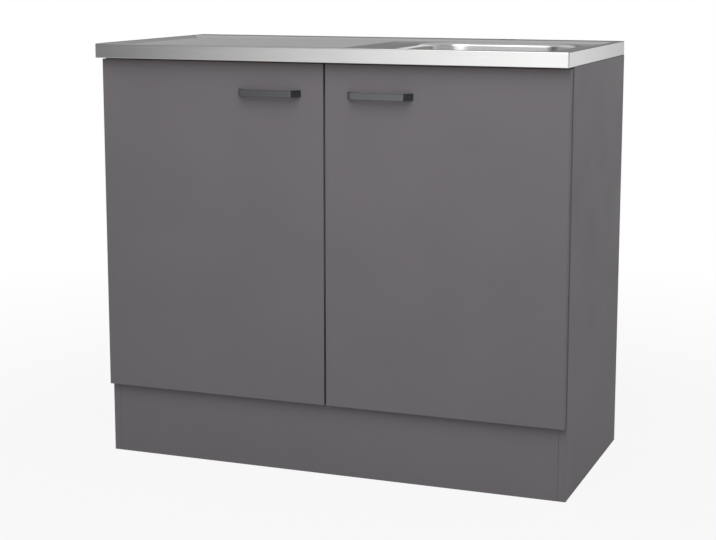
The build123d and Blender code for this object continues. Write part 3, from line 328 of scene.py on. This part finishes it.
def makePiece(name, mesh, material, body, thickness=0.0, edge=0.0, sharpDegrees=38):
    bmesh.ops.recalc_face_normals(mesh, faces=mesh.faces)
    if thickness:  # an open sheet: its upper side is the shown one, and its thickness goes down from there
        mesh.normal_update()
        if sum(face.normal.z * face.calc_area() for face in mesh.faces) < 0:
            bmesh.ops.reverse_faces(mesh, faces=mesh.faces)
    data = bpy.data.meshes.new(name)
    mesh.to_mesh(data)
    mesh.free()
    piece = bpy.data.objects.new(name, data)
    bpy.context.collection.objects.link(piece)
    sharp = math.radians(sharpDegrees)
    if thickness:
        solid = piece.modifiers.new("sheet", "SOLIDIFY")
        solid.thickness = thickness
        solid.offset = -1.0
        solid.use_even_offset = True
    if edge:
        rounded = piece.modifiers.new("softEdges", "BEVEL")
        rounded.width = edge
        rounded.segments = 3
        rounded.limit_method = "ANGLE"
        rounded.angle_limit = sharp
    bakeModifiers(piece)
    piece.data.polygons.foreach_set("use_smooth", [True] * len(piece.data.polygons))
    piece.data.set_sharp_from_angle(angle=sharp)
    even = piece.modifiers.new("evenShading", "WEIGHTED_NORMAL")  # flats stay flat beside their bends
    even.keep_sharp = True
    bakeModifiers(piece)
    piece.data.materials.clear()
    piece.data.materials.append(material)
    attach(piece, body)
    return piece


sink = {
    "sheet": 0.001, "corner": 0.003, "leastCorner": 0.0006, "topBend": 0.002, "lip": 0.009,
    "foldBend": 0.0012,
    "slack": 0.0001,    # the sheet stands a hair inside the solid's own outline
    "hold": 0.001,      # a ring this far beside each bend keeps the flats flat
    "rimHold": 0.0006,  # less at the rim, to leave room for the tap hole
    "bowlHold": 0.002,
    "rim": 0.014, "backLedge": 0.055, "deckDrop": 0.005, "deckCorner": 0.012, "stepBend": 0.0026,
    "bowlCorner": 0.096, "bowlBend": 0.009, "bowlDraft": 4.0, "bowlFoot": 0.038, "bowlBottom": 0.725,
    "bottomCuts": (0.35, 0.7),
    "satinFrom": 0.3,   # how far down its lip bend the bowl turns satin
    "recessRadius": 0.0585, "wasteHole": 0.0435,
    "recessStep": ((0.0015, 0.0006), (0.0, 0.0011), (-0.0012, 0.0021), (-0.0024, 0.0025)),  # out and down
    "tapHole": (0.249, 0.215, 0.0175), "tapSides": 40,
    "overflowRadius": 0.011, "overflowDrop": 0.042, "overflowSides": 32, "overflowPanel": 0.031,
    "ribPitch": 0.022, "ribWidth": 0.011, "ribHeight": 0.0018, "ribLength": 0.470, "ribStart": 0.032,
    "ribMargin": 0.020, "ribRings": (0.0, 0.12, 0.28, 0.45, 0.62, 0.8, 0.97),
    "ribRound": 0.999,  # a full half circle would leave its two ends without a side between them
}


def pressEdge(mesh, low, high):  # folded edge: lip, its bend, the upright face and the bend at the top
    s = sink

    def edgeRing(inset, z):
        inset += s["slack"]
        return roundedRing((low.x + inset, low.y + inset), (high.x - inset, high.y - inset),
                           max(s["corner"] - inset, s["leastCorner"]), z, 6)

    fold = arcPoints(0, low.z + s["foldBend"], s["foldBend"], -90, 0, 3)
    top = arcPoints(0, high.z - s["topBend"], s["topBend"], 0, 90, 5)
    rings = [edgeRing(s["lip"], low.z), edgeRing(s["foldBend"] + s["hold"], low.z)]
    rings += [edgeRing(s["foldBend"] - x, z) for x, z in fold]
    rings += [edgeRing(0.0, low.z + s["foldBend"] + s["hold"])]
    rings += [edgeRing(0.0, high.z - s["topBend"] - s["hold"])]
    rings += [edgeRing(s["topBend"] - x, z) for x, z in top]
    rings += [edgeRing(s["topBend"] + s["hold"], high.z)]
    return skin(mesh, rings)[-1]


def pressStep(mesh, low, high):  # from the rim down to the deck, 45 degrees with a soft bend at each end
    s = sink
    deckZ = high.z - s["deckDrop"]
    run = s["stepBend"] * math.tan(math.radians(22.5))

    def deckRing(offset, z):
        return roundedRing((low.x + s["rim"] + offset, low.y + s["rim"] + offset),
                           (high.x - s["rim"] - offset, high.y - s["backLedge"] - offset),
                           s["deckCorner"] - offset, z, 6)

    upper = arcPoints(-run, high.z - s["stepBend"], s["stepBend"], 90, 45, 3)
    lower = arcPoints(s["deckDrop"] + run, deckZ + s["stepBend"], s["stepBend"], 225, 270, 3)
    rings = [deckRing(-run - s["rimHold"], high.z)]
    rings += [deckRing(x, z) for x, z in upper + lower]
    rings += [deckRing(s["deckDrop"] + run + s["hold"], deckZ)]
    made = skin(mesh, rings)
    return made[0], made[-1]


def drawBowl(mesh, low, high, deckZ):  # lip bend, leaning walls, foot, bottom, and the strainer's recess
    s = sink
    middle = (low + high) / 2
    draft = math.radians(s["bowlDraft"])
    footZ = s["bowlBottom"] + s["bowlFoot"]
    lipInset = s["bowlBend"] * (1 - math.tan((math.pi / 2 - draft) / 2))
    footInset = s["bowlBend"] + (deckZ - footZ) * math.tan(draft) + s["bowlFoot"] / math.cos(draft)

    def bowlRing(inset, z):
        return roundedRing((low.x + inset, low.y + inset), (high.x - inset, high.y - inset),
                           s["bowlCorner"] - inset, z, 12, 5)

    lip = arcPoints(lipInset, deckZ - s["bowlBend"], s["bowlBend"], 90, s["bowlDraft"], 8)
    foot = arcPoints(footInset, footZ, s["bowlFoot"], 180 + s["bowlDraft"], 270, 12)
    flat = bowlRing(footInset + s["bowlHold"], s["bowlBottom"])
    ways = [(p - middle).xy.normalized() for p in flat]

    def wasteRing(radius, z):
        return [Vector((middle.x + radius * w.x, middle.y + radius * w.y, z)) for w in ways]

    recess = [wasteRing(s["recessRadius"] + out, s["bowlBottom"] - down) for out, down in s["recessStep"]]
    recess += [wasteRing(s["wasteHole"], s["bowlBottom"] - s["recessStep"][-1][1])]
    rings = [bowlRing(-s["bowlHold"], deckZ)]
    rings += [bowlRing(x, z) for x, z in lip + foot]
    rings += [flat]
    rings += [[p.lerp(q, t) for p, q in zip(flat, recess[0])] for t in s["bottomCuts"]]
    rings += recess
    bowl = skin(mesh, rings)

    # overflow hole in the flat of the left wall, which is one row of faces between lip and foot
    drop = s["overflowDrop"]
    centre = Vector((low.x + s["bowlBend"] + drop * math.tan(draft), middle.y, deckZ - drop))
    down = Vector((math.sin(draft), 0, -math.cos(draft)))
    top, bottom = bowl[len(lip)], bowl[len(lip) + 1]
    columns = [i for i, v in enumerate(top) if v.co.x < middle.x
               and abs(v.co.y - middle.y) < s["overflowPanel"]]
    columns.sort(key=lambda i: top[i].co.y)
    for a, b in zip(columns, columns[1:]):
        mesh.faces.remove(mesh.faces.get((top[a], top[b], bottom[b], bottom[a])))
    for i in columns[1:-1]:
        mesh.edges.remove(mesh.edges.get((top[i], bottom[i])))
    panel = [top[i] for i in columns] + [bottom[i] for i in reversed(columns)]
    hole = [centre + s["overflowRadius"] * (math.cos(a) * Vector((0, 1, 0)) + math.sin(a) * down)
            for a in circle(s["overflowSides"])]
    fillBetween(mesh, [panel, newLoop(mesh, hole)], (math.cos(draft), 0, math.sin(draft)))
    return bowl[0]


def pressRibs(mesh, low, high, deckZ):  # drainer ribs: low swellings of the same sheet, with round ends
    s = sink
    front, back = low.y + s["rim"], high.y - s["backLedge"]
    ribs = int((back - front - 2 * s["ribMargin"] - s["ribWidth"]) / s["ribPitch"]) + 1
    x0 = low.x + s["ribStart"]
    x1 = x0 + s["ribWidth"] + s["ribLength"]
    feet = []
    for n in range(ribs):
        y = (front + back) / 2 + (n - (ribs - 1) / 2) * s["ribPitch"]
        rings = []
        for t in s["ribRings"]:
            half = s["ribWidth"] / 2 * (1 - t)
            inset = s["ribWidth"] / 2 * t
            rise = s["ribHeight"] * (1 - math.cos(math.pi * t)) / 2
            rings += [roundedRing((x0 + inset, y - half), (x1 - inset, y + half), half * s["ribRound"],
                                  deckZ + rise, 6)]
        made = skin(mesh, rings)
        mesh.faces.new(made[-1])
        feet.append(made[0])
    return feet


def sinkSheet():
    low, high = (Vector(corner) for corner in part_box("sink_top"))
    bowlLow, bowlHigh = (Vector(corner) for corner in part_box("sink_bowl"))
    deckZ = high.z - sink["deckDrop"]
    mesh = bmesh.new()
    outer = pressEdge(mesh, low, high)
    rimSide, deckSide = pressStep(mesh, low, high)
    tapX, tapY, tapRadius = sink["tapHole"]
    tapHole = newLoop(mesh, circleRing(tapX, tapY, tapRadius, high.z, sink["tapSides"]))
    fillBetween(mesh, [outer, rimSide, tapHole])
    bowlMouth = drawBowl(mesh, bowlLow, bowlHigh, deckZ)
    fillBetween(mesh, [deckSide, bowlMouth] + pressRibs(mesh, low, high, deckZ))
    piece = makePiece("pressedSinkSheet", mesh, sheetSteel, "carcass", thickness=sink["sheet"])
    piece.data.materials.append(bowlSteel)
    satinTop = deckZ - sink["sheet"] - sink["bowlBend"] * sink["satinFrom"]
    for face in piece.data.polygons:  # the drawn bowl is satin, the flat sheet round it keeps its brushing
        across, along, up = face.center
        if up < satinTop and bowlLow.x < across < bowlHigh.x and bowlLow.y < along < bowlHigh.y:
            face.material_index = 1
    return piece


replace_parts(sinkSheet(), "sink_top", "sink_bowl")
print("sink pressed")


grip = {"strip": 0.004, "foot": 0.010, "front": 0.111, "edge": 0.0009, "sharp": 25}


def bowHandle(hand):  # a die cast bow with a flat front and two leaning feet
    low, high = (Vector(corner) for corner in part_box(hand + "_handle"))
    middle = (low.x + high.x) / 2
    half = (high.x - low.x) / 2
    front = grip["front"] / 2
    knee = front - grip["strip"]
    inner = half - grip["foot"]
    under = low.y + grip["strip"]
    outline = [(-half, high.y), (-front, low.y), (front, low.y), (half, high.y), (inner, high.y),
               (knee, under), (-knee, under), (-inner, high.y)]
    mesh = bmesh.new()
    below, above = skin(mesh, [[Vector((middle + x, y, z)) for x, y in outline] for z in (low.z, high.z)])
    mesh.faces.new(below)
    mesh.faces.new(above)
    return makePiece(hand + "BowHandle", mesh, blackNickel, hand + "_leaf",
                     edge=grip["edge"], sharpDegrees=grip["sharp"])


for hand in ("left", "right"):
    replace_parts(bowHandle(hand), hand + "_handle")
print("handles cast")


studio = {
    "diffuse": 0.47,         # soft light from all round
    "overheadLevel": 0.64,   # what the steel mirrors from above
    "wallLevel": 0.04,       # and from the dark wall
    "floor": "#c4c4c4",      # a mid grey sheet bounces little light onto the doors
    "floorRadius": 3.0,
    "floorSeen": 0.90,       # how much of the floor's white is its own, for the camera
    "floorMirrored": 0.4,    # and in reflections
    "floorFade": (0.8, 2.4),
}

# What the steel mirrors, by the way that it looks. Each row has the axis, where the change starts and
# ends, and the value at either end.
mirrored = {
    "card": ("X", -0.585, -0.22, 0.03, 1.66),     # a white card in front that falls off to the left,
    "cardHeight": ("Z", -0.02, 0.17, 1.0, 0.38),  # upwards,
    "cardRight": ("X", -0.2, 0.0, 1.0, 0.62),     # and a little to the right
    "room": ("X", 0.17, 0.25, 0.235, 1.25),       # a room behind, dim on the left and bright on the right
    "turn": ("Y", -0.35, 0.35, 0.0, 1.0),         # from the card to the room
    "overhead": ("Z", 0.28, 0.7, 0.0, 1.0),
    "wall": ("X", 0.42, 0.7, 0.0, 1.0),           # a dark wall at the far right,
    "wallHeight": ("Z", 0.08, 0.3, 1.0, 0.0),     # low
    "wallDepth": ("Y", -0.04, 0.12, 0.0, 1.0),    # and behind
    "farLeft": ("X", -0.6, -0.8, 0.0, 0.45),
}


def seenDirectly(tree):  # the rays, and 1 for what the camera sees itself or through something clear
    rays = addNode(tree, "ShaderNodeLightPath")
    either = addNode(tree, "ShaderNodeMath", {
        0: rays.outputs["Is Camera Ray"], 1: rays.outputs["Is Transmission Ray"]}, operation="MAXIMUM")
    return rays, either.outputs[0]


def makeWorld():
    world = bpy.data.worlds.new("studioRoom")
    bpy.context.scene.world = world
    world.use_nodes = True
    tree = world.node_tree
    tree.nodes.clear()
    way = addNode(tree, "ShaderNodeSeparateXYZ", {
        "Vector": addNode(tree, "ShaderNodeTexCoord").outputs["Generated"]})
    level = {}
    for name, (axis, start, end, low, high) in mirrored.items():
        level[name] = addNode(tree, "ShaderNodeMapRange", {
            "Value": way.outputs[axis], "From Min": start, "From Max": end, "To Min": low, "To Max": high,
        }, interpolation_type="SMOOTHSTEP" if name == "card" else "LINEAR").outputs["Result"]
    for name, limits in (("card", ("cardHeight", "cardRight")), ("wall", ("wallHeight", "wallDepth"))):
        for limit in limits:
            level[name] = addNode(tree, "ShaderNodeMath", {
                0: level[name], 1: level[limit]}, operation="MULTIPLY").outputs[0]
    shown = level["card"]
    for share, other in (("turn", level["room"]), ("overhead", studio["overheadLevel"]),
                         ("wall", studio["wallLevel"])):
        shown = addNode(tree, "ShaderNodeMix", {0: level[share], 2: shown, 3: other}).outputs[0]
    shown = addNode(tree, "ShaderNodeMath", {0: shown, 1: level["farLeft"]}, operation="ADD").outputs[0]
    rays, seen = seenDirectly(tree)
    shown = addNode(tree, "ShaderNodeMix", {
        0: rays.outputs["Is Glossy Ray"], 2: studio["diffuse"], 3: shown}).outputs[0]
    shown = addNode(tree, "ShaderNodeMix", {0: seen, 2: shown, 3: 1.0}).outputs[0]
    light = addNode(tree, "ShaderNodeBackground", {"Color": (1, 1, 1, 1), "Strength": shown})
    addNode(tree, "ShaderNodeOutputWorld", {"Surface": light.outputs[0]})


def makeFloor():
    mesh = bmesh.new()
    bmesh.ops.create_circle(mesh, cap_ends=True, segments=96, radius=studio["floorRadius"])
    data = bpy.data.meshes.new("studioFloor")
    mesh.to_mesh(data)
    mesh.free()
    floor = bpy.data.objects.new("studioFloor", data)
    bpy.context.collection.objects.link(floor)
    material = bpy.data.materials.new("studioPaperWhite")
    material.use_nodes = True
    tree = material.node_tree
    tree.nodes.clear()
    paper = addNode(tree, "ShaderNodeBsdfDiffuse", {"Color": linear(studio["floor"])})
    glow = addNode(tree, "ShaderNodeEmission", {"Color": (1, 1, 1, 1), "Strength": 1.0})
    # the paper keeps the shadow round the unit and goes over into the white of the room further out
    place = addNode(tree, "ShaderNodeTexCoord").outputs["Object"]
    out = addNode(tree, "ShaderNodeVectorMath", {0: place}, operation="LENGTH").outputs["Value"]
    share = addNode(tree, "ShaderNodeMapRange", {
        "Value": out, "From Min": studio["floorFade"][0], "From Max": studio["floorFade"][1],
        "To Min": studio["floorSeen"], "To Max": 1.0}).outputs["Result"]
    rays, seen = seenDirectly(tree)
    own = addNode(tree, "ShaderNodeMath", {0: seen, 1: share}, operation="MULTIPLY").outputs[0]
    inSteel = addNode(tree, "ShaderNodeMath", {
        0: rays.outputs["Is Glossy Ray"], 1: studio["floorMirrored"]}, operation="MULTIPLY").outputs[0]
    white = addNode(tree, "ShaderNodeMath", {0: own, 1: inSteel}, operation="MAXIMUM").outputs[0]
    both = addNode(tree, "ShaderNodeMixShader", {0: white, 1: paper.outputs[0], 2: glow.outputs[0]})
    addNode(tree, "ShaderNodeOutputMaterial", {"Surface": both.outputs[0]})
    data.materials.append(material)


lamps = {
    "softBoxAbove": {"place": (0.3, -1.75, 2.1), "target": (0.1, 0, 0.6), "size": 2.0, "watts": 22.5},
    "softBoxFront": {"place": (0.9, -3.4, 1.6), "target": (0, 0, 0.5), "size": 2.0, "watts": 12},
}


def makeLamp(name, place, target, size, watts):
    data = bpy.data.lights.new(name, "AREA")
    data.shape = "DISK"
    data.size = size
    data.energy = watts
    lamp = bpy.data.objects.new(name, data)
    bpy.context.collection.objects.link(lamp)
    lamp.location = place
    lamp.rotation_euler = (Vector(target) - Vector(place)).to_track_quat("-Z", "Y").to_euler()


view = {
    "place": (1.2004, -3.1762, 1.0358), "yaw": 20.911, "pitch": 9.185, "lens": 80.897, "shiftY": -0.06,
}


def makeCamera():
    data = bpy.data.cameras.new("photoCamera")
    data.lens = view["lens"]
    data.sensor_width = 36.0
    data.shift_y = view["shiftY"]
    camera = bpy.data.objects.new("photoCamera", data)
    bpy.context.collection.objects.link(camera)
    camera.location = view["place"]
    camera.rotation_euler = (math.radians(90 - view["pitch"]), 0.0, math.radians(view["yaw"]))
    bpy.context.scene.camera = camera


makeWorld()
makeFloor()
for lampName, settings in lamps.items():
    makeLamp(lampName, **settings)
makeCamera()
bpy.context.scene.view_settings.view_transform = "Standard"
print("studio made")
